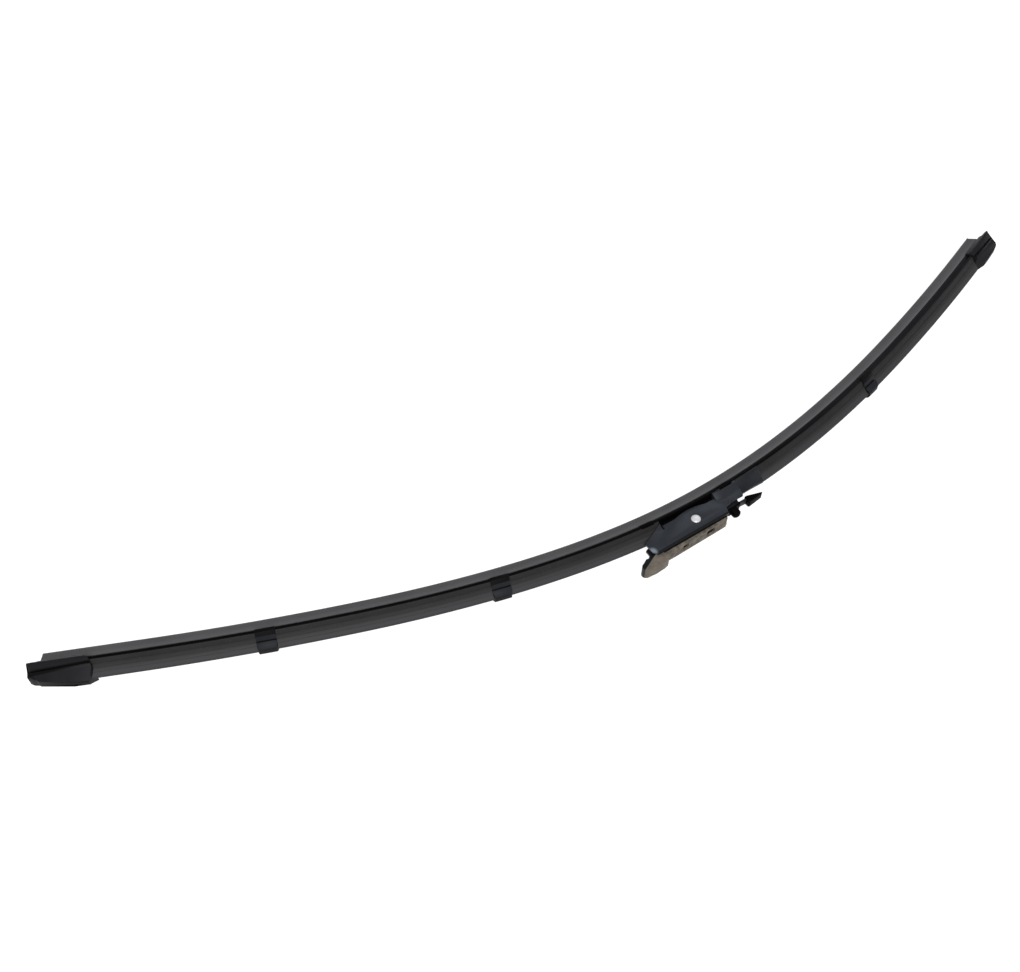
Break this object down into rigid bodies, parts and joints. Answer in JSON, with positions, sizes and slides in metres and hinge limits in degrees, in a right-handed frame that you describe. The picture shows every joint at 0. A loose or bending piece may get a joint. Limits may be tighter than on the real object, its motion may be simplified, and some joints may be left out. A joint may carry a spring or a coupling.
{
  "type": "wiper blade",
  "caption": "Flat wiper blade with a spoiler over sprung rails, end caps, clips and a central connector whose arm adapter rocks on a rivet.",
  "frame": {"origin": "middle of the adapter's flat top, where the wiper arm sits, over the pivot", "axes": "+X along the blade at the pivot, towards its shorter half; +Y from the arm towards the glass; +Z across the blade, up as it lies on its side"},
  "size_m": [0.5971, 0.1104, 0.016],
  "materials": {
    "wiper_rubber": "matt, with a faint bloom",
    "rail_steel": "black paint",
    "spoiler_rubber": "satin",
    "clip_plastic": "satin",
    "cap_plastic": "satin",
    "carrier_steel": "black paint",
    "base_plastic": "satin",
    "rivet_steel": "zinc plated",
    "bush_steel": "bright",
    "adapter_plastic": "satin",
    "tongue_plastic": "satin",
    "lock_plastic": "satin"
  },
  "bodies": {
    "blade": {"squeegee": "wiper_rubber", "rail_upper": "rail_steel", "rail_lower": "rail_steel", "spoiler_left": "spoiler_rubber", "spoiler_right": "spoiler_rubber", "clip_outer": "clip_plastic", "clip_inner": "clip_plastic", "clip_short": "clip_plastic", "end_cap_left": "cap_plastic", "end_cap_right": "cap_plastic", "carrier": "carrier_steel", "connector_base": "base_plastic", "fairing": "base_plastic", "pivot_rivet": "rivet_steel", "rivet_washer": "rivet_steel"},
    "adapter": {"adapter_body": "adapter_plastic", "adapter_nose": "adapter_plastic", "lock_tongue": "tongue_plastic", "lock_peg": "lock_plastic", "lock_wedge": "lock_plastic", "pivot_bush": "bush_steel"}
  },
  "joints": [
    {"name": "adapter_rock", "type": "hinge", "parent": "blade", "child": "adapter", "pos_m": [0, 0.00821, 0], "axis": [0, 0, 1], "range_deg": [-12, 4.5]}
  ]
}
